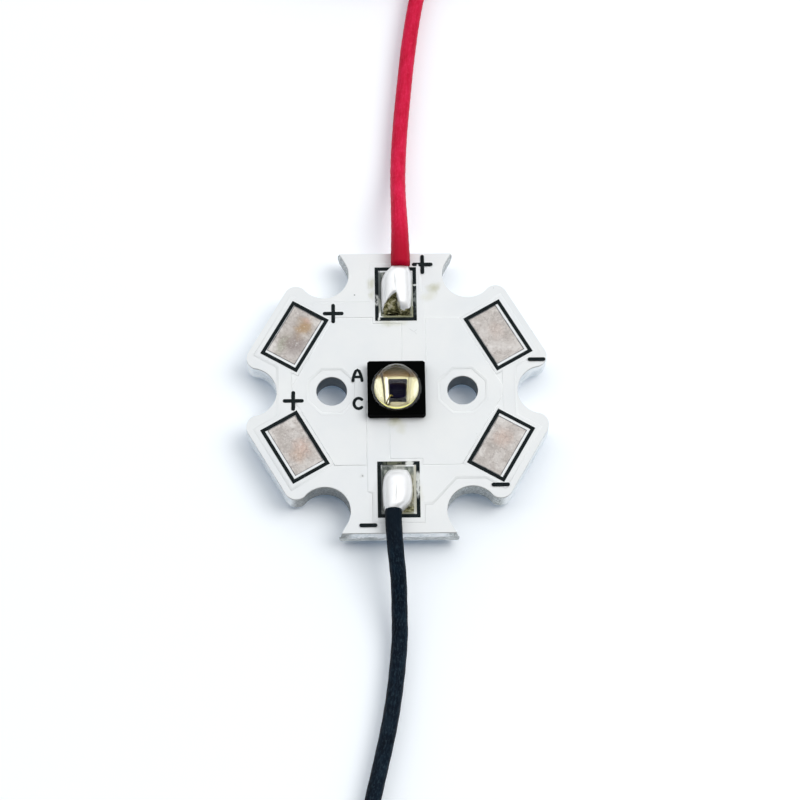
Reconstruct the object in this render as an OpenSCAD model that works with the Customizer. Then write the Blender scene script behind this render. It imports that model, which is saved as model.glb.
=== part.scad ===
// Star-shaped aluminium-core circuit board with one power LED and two soldered leads.
// Millimetres. Origin at the centre of the plate's underside, Z up, Y towards the positive lead.

/* [Board] */
// Distance across opposite flats of the star
across_flats = 20; // [19:0.5:24]
// Thickness of the aluminium plate
plate_t = 1.5; // [1:0.1:2.5]
// Thickness of the insulating layer
dielectric_t = 0.1; // [0.05:0.01:0.2]
// Thickness of the copper
copper_t = 0.07; // [0.06:0.005:0.14]
// Thickness of the white solder mask over copper
mask_t = 0.03; // [0.02:0.005:0.04]
// Depth of the V score on each face of the two snapped edges
score_depth = 0.5; // [0.2:0.05:0.6]
// Included angle of the V score
score_angle = 30; // [20:5:45]

/* [Notches and holes] */
// Radius of the round end of the six notches
notch_r = 1.7; // [1.3:0.1:1.8]
// Rounding of the routed lobe corners
lip_r = 0.8; // [0.4:0.1:1]
// Diameter of the two locating holes
hole_d = 2.05; // [1.6:0.05:2.3]
// Distance between the two locating holes, as a share of the distance across flats
hole_spread = 0.435; // [0.42:0.005:0.455]

/* [Pads and print] */
// Length along the board edge of the printed outline of a side pad
side_box_l = 4.1; // [3.6:0.1:4.4]
// Depth of the printed outline of a side pad
side_box_w = 2.55; // [2.2:0.05:2.7]
// Depth of the printed outline of a lead pad
lead_box_l = 3.65; // [3.4:0.05:3.8]
// Width of the printed outline of a lead pad
lead_box_w = 2.55; // [2.5:0.05:2.9]
// Width of a printed line
line_w = 0.24; // [0.16:0.02:0.3]
// Bare pad stands this far inside the middle of its printed line
pad_inset = 0.23; // [0.2:0.01:0.3]

/* [Emitter] */
// Side of the square black housing
led_w = 3.75; // [3.6:0.05:4]
// Height of the housing
led_h = 0.68; // [0.6:0.02:1]
// Radius of the dome lens
dome_r = 1.47; // [1.2:0.01:1.55]
// Straight part of the lens between housing and dome
dome_neck = 0.3; // [0.1:0.05:0.6]
// Diameter of the lens foot let into the housing
foot_d = 3.35; // [3.2:0.05:3.5]
// Width of the die, across the board
die_w = 0.52; // [0.4:0.02:0.6]
// Length of the die
die_l = 0.76; // [0.6:0.02:0.9]

/* [Leads] */
// Diameter over the insulation
lead_d = 1.05; // [0.9:0.05:1.15]
// Diameter of the tinned strands
core_d = 0.6; // [0.4:0.05:0.7]
// Bare length at the free end of each lead
bare_end = 3.5; // [2:0.5:6]

/* [Hidden] */
// Heights of the layers
copper_z = plate_t + dielectric_t;
copper_top = copper_z + copper_t;
mask_top = copper_top + mask_t;
// The mask sinks by this much where there is no copper below
mask_sink = 0.05;
// Mask wall around the copper edges
mask_wall = 0.1;
ink_t = 0.02;
tin_t = 0.02;
print_top = mask_top + ink_t;

// Snapped edges: the broken web stands out, the faces step back by the score
snap_web = 0.06;
web_y = across_flats / 2 + snap_web;
face_y = web_y - score_depth * tan(score_angle / 2);
notch_at = across_flats / 2 - 0.3;
hole_pitch = hole_spread * across_flats;

// Pads: middle of the printed outline from the board centre
side_box_at = across_flats / 2 - 2.15;
lead_box_at = across_flats / 2 - 3.05;
copper_margin = line_w / 2 + 0.05;
// The bare pads sit a little off the middle of their outlines, as printed; along and out of the lobe
plus_top_shift = [0.03, 0];
minus_bottom_shift = [0.05, 0];
plus_upper_left_shift = [0.08, 0.06];
plus_lower_left_shift = [0.08, -0.08];
minus_upper_right_shift = [-0.08, -0.08];
minus_lower_right_shift = [0.08, -0.08];

// Copper under the mask
copper_gap = 0.3;
// Copper stays this far from the board centre towards a side pad; the octagons around the holes keep inside it
side_limit = side_box_at - side_box_w / 2 - copper_margin - copper_gap;
octagon_clear = 0.39;
octagon_r = side_limit - hole_pitch / 2 * cos(30) - octagon_clear;
link_in = side_box_at - 0.7;
link_out = notch_at - notch_r - 0.3;
// Middle of a side pad, and the strip that joins it to the lead pad
side_mid = side_box_at * [cos(30), sin(30)];
strip_in = side_mid[0] - 1.4;
strip_y = side_mid[1] + 1.475;
strip_w = 0.75;
slope_w = 0.52;
slope_x = [2.1, 3.7];
slope_y = lead_box_at + 0.75;
// Left and right edge of the tracks from the lead pads to the emitter
anode_track = [0.5, 1.8];
cathode_track = [-1.9, -0.7];
pour_x = link_in - copper_gap;
pour_y = strip_y - copper_gap;

// Emitter levels, upwards from the copper
led_z = copper_top + 0.07;
led_top = led_z + led_h;
frame_t = 0.22;
contact_t = 0.12;
bowl_r = 1.45;
bowl_z = led_z + frame_t;
foot_t = 0.06;
die_t = 0.12;
die_at = [0.02, 0.04];
die_top = bowl_z + die_t;
// The lead frame is split beside the die, left part for the bond wire
split_left = -0.48;
split_right = -0.42;
anode_land = [[split_right, 0.95], [1.5, 1.6]];
heat_land = [[split_right, -0.62], [1.5, 0.62]];
cathode_land = [[-1.5, -1.6], [split_left, -0.95]];
mask_clear = 0.06;
bond_d = 0.05;
bond_route = [
    [-0.15, -0.22, die_top],
    [-0.15, -0.22, die_top + 0.08],
    [-0.19, -0.265, die_top + 0.14],
    [-0.28, -0.345, die_top + 0.15],
    [-0.4, -0.45, die_top + 0.1],
    [-0.5, -0.535, die_top],
    [-0.57, -0.6, bowl_z + 0.05],
    [-0.57, -0.6, bowl_z]
];

// Solder joints: distance out, middle, base height, half width, height of each section
pad_top = copper_top + tin_t;
clear_of_print = print_top + 0.05;
plus_joint = [
    [lead_box_at - 1.53, 0, pad_top, 0.5, 0.1],
    [lead_box_at - 1.35, 0, pad_top, 0.8, 0.28],
    [lead_box_at - 1.05, 0.02, pad_top, 0.93, 0.58],
    [lead_box_at - 0.75, 0.03, pad_top, 0.97, 0.84],
    [lead_box_at - 0.35, 0.05, pad_top, 1, 1.02],
    [lead_box_at + 0.15, 0.06, pad_top, 1.01, 1.13],
    [lead_box_at + 0.75, 0.09, pad_top, 0.98, 1.21],
    [lead_box_at + 1.25, 0.2, pad_top, 0.87, 1.27],
    [lead_box_at + 1.55, 0.28, clear_of_print, 0.76, 1.2],
    [lead_box_at + 1.85, 0.34, clear_of_print + 0.06, 0.66, 1.1]
];
minus_joint = [
    [lead_box_at - 1.25, 0.08, pad_top, 0.45, 0.12],
    [lead_box_at - 1.1, 0.08, pad_top, 0.72, 0.36],
    [lead_box_at - 0.65, 0.1, pad_top, 0.92, 0.86],
    [lead_box_at - 0.05, 0.1, pad_top, 0.99, 1.14],
    [lead_box_at + 0.55, 0.14, pad_top, 0.95, 1.24],
    [lead_box_at + 1, 0.24, pad_top, 0.84, 1.25],
    [lead_box_at + 1.3, 0.33, clear_of_print, 0.72, 1.16],
    [lead_box_at + 1.55, 0.38, clear_of_print + 0.06, 0.62, 1.04]
];
core_in = 2.2;

// Leads: swollen by the heat beside the joint, then down to the table and out to a tied coil
tie_t = 0.12;
table_z = tie_t + lead_d / 2;
swell = 1.22;
red_z = clear_of_print + lead_d / 2 * swell;
black_z = clear_of_print + lead_d / 2;
red_drop = red_z - table_z;
black_drop = black_z - table_z;
red_y = lead_box_at + 1.85;
black_y = -lead_box_at - 1.55;
red_route = [
    [0.34, red_y, red_z],
    [0.34, red_y + 1, red_z],
    [0.33, red_y + 2.6, table_z + 0.93 * red_drop],
    [0.3, red_y + 4.4, table_z + 0.71 * red_drop],
    [0.28, red_y + 6.2, table_z + 0.37 * red_drop],
    [0.33, red_y + 8.2, table_z + 0.09 * red_drop],
    [0.47, red_y + 10.4, table_z],
    [0.68, red_y + 12.7, table_z],
    [0.95, red_y + 15.2, table_z],
    [1.25, red_y + 17.7, table_z],
    [1.65, red_y + 20.2, table_z],
    [2.2, red_y + 22.7, table_z],
    [2.8, red_y + 24.8, table_z],
    [3, red_y + 26.2, table_z],
    [3, red_y + 27.2, table_z]
];
black_route = [
    [-0.38, black_y, black_z],
    [-0.38, black_y - 1, black_z],
    [-0.28, black_y - 2.7, table_z + 0.93 * black_drop],
    [-0.12, black_y - 4.5, table_z + 0.67 * black_drop],
    [-0.07, black_y - 6.3, table_z + 0.31 * black_drop],
    [-0.08, black_y - 8.3, table_z + 0.06 * black_drop],
    [-0.26, black_y - 10.3, table_z],
    [-0.52, black_y - 12.3, table_z],
    [-0.92, black_y - 14.5, table_z],
    [-1.45, black_y - 16.8, table_z],
    [-2.05, black_y - 19.3, table_z],
    [-2.65, black_y - 21.8, table_z],
    [-3.1, black_y - 23.9, table_z],
    [-3.3, black_y - 25.5, table_z],
    [-3.3, black_y - 26.5, table_z]
];
// Coil: three turns wide, two high; the end crosses over the incoming lead
coil_mid_r = 5.3;
coil_out_r = coil_mid_r + lead_d;
coil_in_len = 3.8;
coil_exit_len = 4.2;
coil_tail_len = 2.6;
tail_z = table_z + lead_d;
red_last = red_route[len(red_route) - 1];
black_last = black_route[len(black_route) - 1];
red_coil_at = [red_last[0] - coil_out_r, red_last[1] + coil_in_len];
black_coil_at = [black_last[0] + coil_out_r, black_last[1] - coil_in_len];
tie_w = 1.6;
tie_wall = 0.25;

smooth = 96;
fine = 48;

function unit(v) = v / norm(v);
function along(path, i) = unit(path[min(i + 1, len(path) - 1)] - path[max(i - 1, 0)]);

// Ring of points around a route point; side is never parallel to the route
function ring(c, dir, side, r, n) =
    let (u = unit(cross(dir, side)), w = cross(u, dir))
    [for (k = [0 : n - 1]) c + r * (cos(360 * k / n) * u + sin(360 * k / n) * w)];

// Two triangles for each cell between two neighbouring loops
function skin(rows, n) = [
    for (i = [0 : rows - 2], k = [0 : n - 1])
        let (a = i * n + k, b = i * n + (k + 1) % n)
        each [[a, b, b + n], [a, b + n, a + n]]
];

// Closed solid through equal loops of points
module loft(loops) {
    n = len(loops[0]);
    last = len(loops) - 1;
    start_cap = [for (k = [n - 1 : -1 : 0]) k];
    end_cap = [for (k = [0 : n - 1]) last * n + k];
    polyhedron(
        points = [for (loop = loops) each loop],
        faces = concat([start_cap], skin(last + 1, n), [end_cap]),
        convexity = 4
    );
}

module tube(path, radii, side) {
    loft([for (i = [0 : len(path) - 1]) ring(path[i], along(path, i), side, radii[i], 8)]);
}

// Lobe frame: Y points outwards, X runs along the board edge
module at_lobe(angle) {
    rotate([0, 0, angle - 90])
        children();
}

module box_2d(corners) {
    translate(corners[0])
        square(corners[1] - corners[0]);
}

// Cuts one corner of a notch to a round lip; dir is the side of the notch, 1 or -1
module lip_cut(dir) {
    reach = 0.3;
    lip_blend = 0.012;
    // The lip circle runs into the notch circle all but smoothly and touches the flat
    spread = notch_r + lip_r - lip_blend;
    rise = (across_flats / 2 - lip_r) / cos(30) - notch_at;
    lip_v = (rise * tan(30) + sqrt(pow(spread / cos(30), 2) - rise * rise)) * pow(cos(30), 2);
    lip = [notch_at + rise - lip_v * tan(30), lip_v];
    far_u = (across_flats / 2 + reach - (notch_r - reach) * sin(30)) / cos(30);
    in_notch = lip + (lip_r + reach) * unit([notch_at, 0] - lip);
    on_flat = lip + (lip_r + reach) * [cos(30), sin(30)];
    scale([1, dir])
        difference() {
            polygon([lip, in_notch, [far_u, notch_r - reach], on_flat]);
            translate(lip)
                circle(r = lip_r, $fn = fine);
        }
}

module notch_2d() {
    translate([notch_at, 0])
        circle(r = notch_r, $fn = fine);
    translate([notch_at, -notch_r])
        square([4, 2 * notch_r]);
}

// Outline of the star; the top and bottom flats stand at half_y
module star_2d(half_y) {
    point_x = across_flats / 2 / cos(30);
    flat_x = (across_flats / 2 - half_y * sin(30)) / cos(30);
    difference() {
        polygon([
            [point_x, 0], [flat_x, half_y], [-flat_x, half_y],
            [-point_x, 0], [-flat_x, -half_y], [flat_x, -half_y]
        ]);
        for (angle = [0 : 60 : 300])
            rotate(angle)
                notch_2d();
        for (angle = [0, 120, 180, 300])
            rotate(angle)
                lip_cut(1);
        for (angle = [0, 60, 180, 240])
            rotate(angle)
                lip_cut(-1);
        for (x = [-hole_pitch / 2, hole_pitch / 2])
            translate([x, 0])
                circle(d = hole_d, $fn = fine);
    }
}

module base_plate() {
    color("#b4b7ba")
        intersection() {
            linear_extrude(plate_t)
                star_2d(web_y);
            rotate([90, 0, 90])
                linear_extrude(2 * across_flats, center = true)
                    polygon([
                        [-face_y, 0], [face_y, 0], [web_y, score_depth], [web_y, plate_t - score_depth],
                        [face_y, plate_t], [-face_y, plate_t],
                        [-web_y, plate_t - score_depth], [-web_y, score_depth]
                    ]);
        }
}

module dielectric_layer() {
    color("#d8d3c0")
        translate([0, 0, plate_t])
            linear_extrude(dielectric_t)
                star_2d(face_y);
}

// Copper under a printed outline
module side_copper_2d(angle) {
    at_lobe(angle)
        translate([0, side_box_at])
            square([side_box_l + 2 * copper_margin, side_box_w + 2 * copper_margin], center = true);
}

module lead_copper_2d(angle) {
    at_lobe(angle)
        translate([0, lead_box_at])
            square([lead_box_w + 2 * copper_margin, lead_box_l + 2 * copper_margin], center = true);
}

// Link between the two side pads of one sign, past the notch; dir is -1 at the left, 1 at the right
module side_link_2d(dir) {
    translate([dir > 0 ? link_in : -link_out, -side_mid[1]])
        square([link_out - link_in, 2 * side_mid[1]]);
}

module anode_2d() {
    lead_copper_2d(90);
    side_copper_2d(150);
    side_copper_2d(210);
    side_link_2d(-1);
    // From the upper left pad to the lead pad
    box_2d([[-strip_in, strip_y], [0, strip_y + strip_w]]);
    // From the lead pad down to the emitter
    box_2d([[anode_track[0], anode_land[0][1]], [anode_track[1], lead_box_at]]);
    box_2d(anode_land);
}

module cathode_2d() {
    lead_copper_2d(270);
    side_copper_2d(30);
    side_copper_2d(330);
    side_link_2d(1);
    // Sloping link from the lower right pad to the lead pad
    polygon([
        [strip_in, -strip_y], [0, -strip_y], [0, -slope_y], [slope_x[0], -slope_y],
        [slope_x[1], -strip_y - slope_w], [strip_in + slope_w, -strip_y - slope_w]
    ]);
    // From the lead pad up to the emitter
    box_2d([[cathode_track[0], -lead_box_at], [cathode_track[1], cathode_land[1][1]]]);
    box_2d(cathode_land);
}

// Heat-spreading area around the emitter, clear of both tracks and of the holes
module heat_2d() {
    side_reach = 2 * side_limit;
    difference() {
        intersection() {
            square([2 * pour_x, 2 * pour_y], center = true);
            rotate(30)
                square([side_reach, 2 * across_flats], center = true);
            rotate(-30)
                square([side_reach, 2 * across_flats], center = true);
        }
        offset(delta = copper_gap)
            anode_2d();
        offset(delta = copper_gap)
            cathode_2d();
        for (x = [-hole_pitch / 2, hole_pitch / 2])
            translate([x, 0])
                rotate(22.5)
                    circle(r = octagon_r, $fn = 8);
    }
}

module copper_layer() {
    color("#b87646")
        translate([0, 0, copper_z])
            linear_extrude(copper_t)
                children();
}

module anode_copper() {
    copper_layer()
        anode_2d();
}

module cathode_copper() {
    copper_layer()
        cathode_2d();
}

module heat_copper() {
    copper_layer()
        heat_2d();
}

// Bare part of a pad; shift moves it off the middle of its printed outline
module side_pad_2d(angle, shift) {
    at_lobe(angle)
        translate(shift + [0, side_box_at])
            square([side_box_l - 2 * pad_inset, side_box_w - 2 * pad_inset], center = true);
}

module lead_pad_2d(angle, shift) {
    at_lobe(angle)
        translate(shift + [0, lead_box_at])
            square([lead_box_w - 2 * pad_inset, lead_box_l - 2 * pad_inset], center = true);
}

module all_pads_2d() {
    lead_pad_2d(90, plus_top_shift);
    lead_pad_2d(270, minus_bottom_shift);
    side_pad_2d(150, plus_upper_left_shift);
    side_pad_2d(210, plus_lower_left_shift);
    side_pad_2d(30, minus_upper_right_shift);
    side_pad_2d(330, minus_lower_right_shift);
}

module emitter_openings_2d() {
    for (land = [anode_land, heat_land, cathode_land])
        box_2d([land[0] - [mask_clear, mask_clear], land[1] + [mask_clear, mask_clear]]);
}

module all_copper_2d() {
    anode_2d();
    cathode_2d();
    heat_2d();
}

// White mask laid over the copper: it steps down wherever the copper ends
module solder_mask() {
    low_t = copper_t + mask_t - mask_sink;
    color("#eef0f1")
        translate([0, 0, copper_z]) {
            linear_extrude(low_t)
                difference() {
                    star_2d(face_y);
                    all_copper_2d();
                }
            translate([0, 0, low_t])
                linear_extrude(copper_t - low_t)
                    difference() {
                        offset(delta = mask_wall)
                            all_copper_2d();
                        all_copper_2d();
                    }
            translate([0, 0, copper_t])
                linear_extrude(mask_t)
                    difference() {
                        offset(delta = mask_wall)
                            all_copper_2d();
                        all_pads_2d();
                        emitter_openings_2d();
                    }
        }
}

// Tin finish on the bare copper
module tin() {
    color("#c9c0bb")
        translate([0, 0, copper_top])
            linear_extrude(tin_t)
                children();
}

module pad_plus_top() {
    tin()
        lead_pad_2d(90, plus_top_shift);
}

module pad_plus_upper_left() {
    tin()
        side_pad_2d(150, plus_upper_left_shift);
}

module pad_plus_lower_left() {
    tin()
        side_pad_2d(210, plus_lower_left_shift);
}

module pad_minus_bottom() {
    tin()
        lead_pad_2d(270, minus_bottom_shift);
}

module pad_minus_upper_right() {
    tin()
        side_pad_2d(30, minus_upper_right_shift);
}

module pad_minus_lower_right() {
    tin()
        side_pad_2d(330, minus_lower_right_shift);
}

module outline_2d(size) {
    difference() {
        square(size + [line_w, line_w], center = true);
        square(size - [line_w, line_w], center = true);
    }
}

// Printed boxes around the six pads
module pad_outlines() {
    color("#101416")
        translate([0, 0, mask_top])
            linear_extrude(ink_t) {
                for (angle = [90, 270])
                    at_lobe(angle)
                        translate([0, lead_box_at])
                            outline_2d([lead_box_w, lead_box_l]);
                for (angle = [30, 150, 210, 330])
                    at_lobe(angle)
                        translate([0, side_box_at])
                            outline_2d([side_box_l, side_box_w]);
            }
}

// Half of the round floor of the housing, cut off at the split
module floor_segment(from_x, to_x) {
    translate([0, 0, led_z + contact_t])
        linear_extrude(frame_t - contact_t)
            intersection() {
                circle(r = bowl_r, $fn = smooth);
                translate([from_x, -2])
                    square([to_x - from_x, 4]);
            }
}

module contact_plate(land) {
    translate([0, 0, led_z])
        linear_extrude(contact_t)
            box_2d(land);
}

// Gold-plated frame: carries the die, with the heat contact and the anode contact below
module led_frame() {
    color("#d9b45a") {
        floor_segment(split_right, 2);
        contact_plate(anode_land);
        contact_plate(heat_land);
    }
}

// Gold-plated part that takes the bond wire, with the cathode contact below
module led_contact() {
    color("#d9b45a") {
        floor_segment(-2, split_left);
        contact_plate(cathode_land);
    }
}

module led_housing() {
    color("#0c0d0e")
        difference() {
            translate([-led_w / 2, -led_w / 2, led_z])
                cube([led_w, led_w, led_h]);
            translate([0, 0, bowl_z])
                cylinder(r = bowl_r, h = 2, $fn = smooth);
            translate([0, 0, led_top - foot_t])
                cylinder(d = foot_d, h = 1, $fn = smooth);
            led_frame();
            led_contact();
        }
}

module led_die() {
    color("#241c3c")
        translate([die_at[0] - die_w / 2, die_at[1] - die_l / 2, bowl_z])
            cube([die_w, die_l, die_t]);
}

module led_bond_wire() {
    radii = [for (point = bond_route) bond_d / 2];
    color("#e0b84c")
        tube(bond_route, radii, [0.66, -0.75, 0]);
}

// Clear lens: fills the bowl around die and wire, foot in the housing, dome above
module led_lens() {
    color("#f4f1e4", 0.5)
        difference() {
            rotate_extrude($fn = smooth)
                intersection() {
                    union() {
                        translate([0, bowl_z])
                            square([bowl_r, led_top - bowl_z]);
                        translate([0, led_top - foot_t])
                            square([foot_d / 2, foot_t]);
                        translate([0, led_top])
                            square([dome_r, dome_neck]);
                        translate([0, led_top + dome_neck])
                            circle(r = dome_r, $fn = smooth);
                    }
                    union() {
                        translate([0, bowl_z])
                            square([bowl_r, led_h]);
                        translate([0, led_top - foot_t])
                            square([3, 5]);
                    }
                }
            led_die();
            led_bond_wire();
        }
}

module land_solder(land) {
    color("#c4c8cb")
        translate([0, 0, copper_top])
            linear_extrude(led_z - copper_top)
                box_2d(land);
}

module led_solder_anode() {
    land_solder(anode_land);
}

module led_solder_cathode() {
    land_solder(cathode_land);
}

module led_solder_heat() {
    land_solder(heat_land);
}

// Closed loop of one solder section: flat base, rounded back
function solder_loop(row) = [
    for (k = [0 : 14])
        let (a = 180 * k / 14)
        [row[1] - row[3] * cos(a), row[0], row[2] + row[4] * pow(sin(a), 0.8)]
];

// Solder drawn up over the conductor and out to the corners of the pad
module solder_body(rows) {
    color("#d3d7da")
        loft([for (row = rows) solder_loop(row)]);
}

module conductor(x, y, z) {
    color("#c8cbcc")
        translate([x, y, z])
            rotate([90, 0, 0])
                cylinder(d = core_d, h = core_in, $fn = fine);
}

module red_conductor() {
    conductor(red_route[0][0], red_route[0][1], red_route[0][2]);
}

module black_conductor() {
    rotate([0, 0, 180])
        conductor(-black_route[0][0], -black_route[0][1], black_route[0][2]);
}

module solder_joint_plus() {
    difference() {
        solder_body(plus_joint);
        red_conductor();
    }
}

module solder_joint_minus() {
    difference() {
        rotate([0, 0, 180])
            solder_body(minus_joint);
        black_conductor();
    }
}

// Radius of a lead at each route point, wider beside the joint
function lead_radii(path, grow) = [
    for (i = [0 : len(path) - 1]) lead_d / 2 * (1 + (grow - 1) * max(0, 1 - i / 4))
];

module red_lead() {
    color("#c2183c")
        tube(red_route, lead_radii(red_route, swell), [1, 0, 0]);
}

module black_lead() {
    color("#10161c")
        tube(black_route, lead_radii(black_route, 1), [1, 0, 0]);
}

// Section through the wound turns, three wide and two high, corners as round as the lead
module coil_section_2d() {
    r = lead_d / 2;
    translate([coil_mid_r - 2 * r, tie_t])
        square([4 * r, 4 * r]);
    translate([coil_mid_r - 3 * r, tie_t + r])
        square([6 * r, 2 * r]);
    for (x = [-2 * r, 2 * r], z = [r, 3 * r])
        translate([coil_mid_r + x, tie_t + z])
            circle(r = r, $fn = fine);
}

// Coil in its own frame: the lead comes in along +Y at the right and leaves along +X at the front
module coil_body() {
    rotate_extrude($fn = smooth)
        coil_section_2d();
    translate([coil_out_r, 0, table_z])
        rotate([90, 0, 0])
            cylinder(d = lead_d, h = coil_in_len, $fn = fine);
    translate([0, -coil_out_r, tail_z])
        rotate([0, 90, 0])
            cylinder(d = lead_d, h = coil_exit_len, $fn = fine);
}

// Band around the turns at the far side of the coil
module coil_tie() {
    color("#f2f2ee")
        difference() {
            translate([-tie_w / 2, coil_mid_r - 1.5 * lead_d - tie_wall, 0])
                cube([tie_w, 3 * lead_d + 2 * tie_wall, tie_t + 2 * lead_d + tie_wall]);
            coil_body();
        }
}

module coil_tail() {
    translate([coil_exit_len, -coil_out_r, tail_z])
        rotate([0, 90, 0])
            cylinder(d = lead_d, h = coil_tail_len, $fn = fine);
}

module coil_end() {
    color("#c8cbcc")
        translate([coil_exit_len + coil_tail_len, -coil_out_r, tail_z])
            rotate([0, 90, 0])
                cylinder(d = core_d, h = bare_end, $fn = fine);
}

module at_red_coil() {
    translate(red_coil_at)
        children();
}

module at_black_coil() {
    translate(black_coil_at)
        rotate([0, 0, 180])
            children();
}

module red_lead_coil() {
    color("#c2183c")
        at_red_coil()
            coil_body();
}

module red_lead_tie() {
    at_red_coil()
        coil_tie();
}

module red_lead_tail() {
    color("#c2183c")
        at_red_coil()
            coil_tail();
}

module red_lead_end() {
    at_red_coil()
        coil_end();
}

module black_lead_coil() {
    color("#10161c")
        at_black_coil()
            coil_body();
}

module black_lead_tie() {
    at_black_coil()
        coil_tie();
}

module black_lead_tail() {
    color("#10161c")
        at_black_coil()
            coil_tail();
}

module black_lead_end() {
    at_black_coil()
        coil_end();
}

base_plate();
dielectric_layer();
anode_copper();
cathode_copper();
heat_copper();
solder_mask();
pad_plus_top();
pad_plus_upper_left();
pad_plus_lower_left();
pad_minus_bottom();
pad_minus_upper_right();
pad_minus_lower_right();
pad_outlines();
led_housing();
led_frame();
led_contact();
led_die();
led_bond_wire();
led_lens();
led_solder_anode();
led_solder_cathode();
led_solder_heat();
solder_joint_plus();
solder_joint_minus();
red_conductor();
black_conductor();
red_lead();
red_lead_coil();
red_lead_tie();
red_lead_tail();
red_lead_end();
black_lead();
black_lead_coil();
black_lead_tie();
black_lead_tail();
black_lead_end();
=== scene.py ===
import math

import bpy
from mathutils import Matrix, Vector, noise


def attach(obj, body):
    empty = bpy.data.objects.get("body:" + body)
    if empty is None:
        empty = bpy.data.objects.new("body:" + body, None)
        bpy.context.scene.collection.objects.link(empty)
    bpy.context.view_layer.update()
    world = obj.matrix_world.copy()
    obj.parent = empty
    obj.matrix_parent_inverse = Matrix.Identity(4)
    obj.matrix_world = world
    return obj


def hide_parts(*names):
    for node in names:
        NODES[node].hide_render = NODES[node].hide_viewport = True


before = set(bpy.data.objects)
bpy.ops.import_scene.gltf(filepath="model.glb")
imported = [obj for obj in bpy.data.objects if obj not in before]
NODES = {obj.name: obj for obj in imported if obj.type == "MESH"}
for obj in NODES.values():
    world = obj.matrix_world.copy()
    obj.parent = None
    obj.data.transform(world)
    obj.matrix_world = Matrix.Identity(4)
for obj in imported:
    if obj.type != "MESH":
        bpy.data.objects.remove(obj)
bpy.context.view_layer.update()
SCENE = bpy.context.scene
MM = 0.001
TURN = 2 * math.pi
CORNERS = ((-1, -1), (1, -1), (1, 1), (-1, 1))

# Levels and sizes of the board, in millimetres
PAD_TOP = 1.69
MASK_TOP = 1.70
MASK_SINK = 0.05
PRINT_TOP = 1.72
CLEAR = 1.77
PAD_AT = 7.85
PAD_SIZE = (3.64, 2.09)
NOTCH_AT = 9.7
HOLE_X = 4.35

# Sizes of the leads; turns of the coil: inwards below, rise, outwards on top, last arc
LEAD_D = 1.05
LEAD_SIDES = 40
TABLE_Z = 0.645
RED_Z = 2.4105
BLACK_Z = 2.295
COIL_MID_R = 5.3
COIL_R = COIL_MID_R + LEAD_D
COIL_TURNS = (2, 0.25, 1.75, 0.75)
COIL_IN = 3.8
COIL_EXIT = 4.2
COIL_TAIL = 2.6
BARE_END = 3.5
CORE_D = 0.6

# Sizes of the emitter
LED_AT = (-0.06, -0.065)
BODY_TOP = 2.42
SPLIT_X = -0.45
GOLD_TOP = 1.96
DIE_TOP = 2.08


# ---- camera ----

CAMERA_DEGREES = (68.94, -3.039, 2.324)
CAMERA_AIM = (0, 0, 0.0017)
CAMERA_FAR = 0.190
FOCAL_PX = 2861.8
PICTURE_PX = 800
CENTRE_OFF_PX = (3.18, 9.46)
SENSOR_MM = 36


def make_camera():
    el, az, roll = (math.radians(d) for d in CAMERA_DEGREES)
    back = Vector((math.sin(az) * math.cos(el), -math.cos(az) * math.cos(el), math.sin(el)))
    right = (-back).cross(Vector((0, 0, 1))).normalized()
    up = right.cross(-back)
    forward = (-back * FOCAL_PX + right * CENTRE_OFF_PX[0] - up * CENTRE_OFF_PX[1]).normalized()
    x_axis = right * math.cos(roll) + up * math.sin(roll)
    x_axis = (x_axis - forward * x_axis.dot(forward)).normalized()
    y_axis = x_axis.cross(forward)
    place = Matrix((x_axis, y_axis, -forward)).transposed().to_4x4()
    place.translation = Vector(CAMERA_AIM) + back * CAMERA_FAR
    data = bpy.data.cameras.new("camera")
    data.sensor_width = SENSOR_MM
    data.lens = FOCAL_PX * SENSOR_MM / PICTURE_PX
    data.clip_start, data.clip_end = 0.005, 20
    camera = bpy.data.objects.new("camera", data)
    camera.matrix_world = place
    SCENE.collection.objects.link(camera)
    SCENE.camera = camera


make_camera()


# ---- shape helpers ----

def wave(x, y, z):
    """Smooth noise at a point."""
    return noise.noise(Vector((x, y, z)))


def ease(t):
    return t * t * (3 - 2 * t)


def polar(radius, angle):
    return radius * math.cos(angle), radius * math.sin(angle)


def turned(x, y, angle):
    c, s = math.cos(angle), math.sin(angle)
    return x * c - y * s, x * s + y * c


def spline(a, b, c, d, t):
    """Smooth curve from b to c, between the neighbours a and d."""
    return 0.5 * (2 * b + (c - a) * t + (2 * a - 5 * b + 4 * c - d) * t * t
                  + (3 * b - a - 3 * c + d) * t ** 3)


def add_mesh(name, shape, paint, smooth=True):
    """New piece from points in millimetres, faces and, if there is a third list, UVs."""
    verts, faces, *uvs = shape
    mesh = bpy.data.meshes.new(name)
    mesh.from_pydata([tuple(c * MM for c in v) for v in verts], [], faces)
    if uvs:
        layer = mesh.uv_layers.new(name="UVMap")
        layer.data.foreach_set("uv", [c for loop in uvs[0] for c in loop])
    mesh.polygons.foreach_set("use_smooth", [smooth] * len(mesh.polygons))
    mesh.update()
    mesh.materials.append(paint.mat)
    obj = bpy.data.objects.new(name, mesh)
    SCENE.collection.objects.link(obj)
    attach(obj, "root")
    return obj


def catmull(points, step):
    """Smooth curve through points, sampled about every step."""
    pts = [Vector(p) for p in points]
    pts = [2 * pts[0] - pts[1]] + pts + [2 * pts[-1] - pts[-2]]
    out = []
    for i in range(1, len(pts) - 2):
        a, b, c, d = pts[i - 1:i + 3]
        count = max(2, round((c - b).length / step))
        out += [spline(a, b, c, d, k / count) for k in range(count)]
    return out + [pts[-2]]


def tangents(path):
    last = len(path) - 1
    return [(path[min(i + 1, last)] - path[max(i - 1, 0)]).normalized() for i in range(last + 1)]


def belt(a, b, n):
    """Faces between two rings of n points that start at a and b."""
    return [(a + k, a + (k + 1) % n, b + (k + 1) % n, b + k) for k in range(n)]


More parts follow.
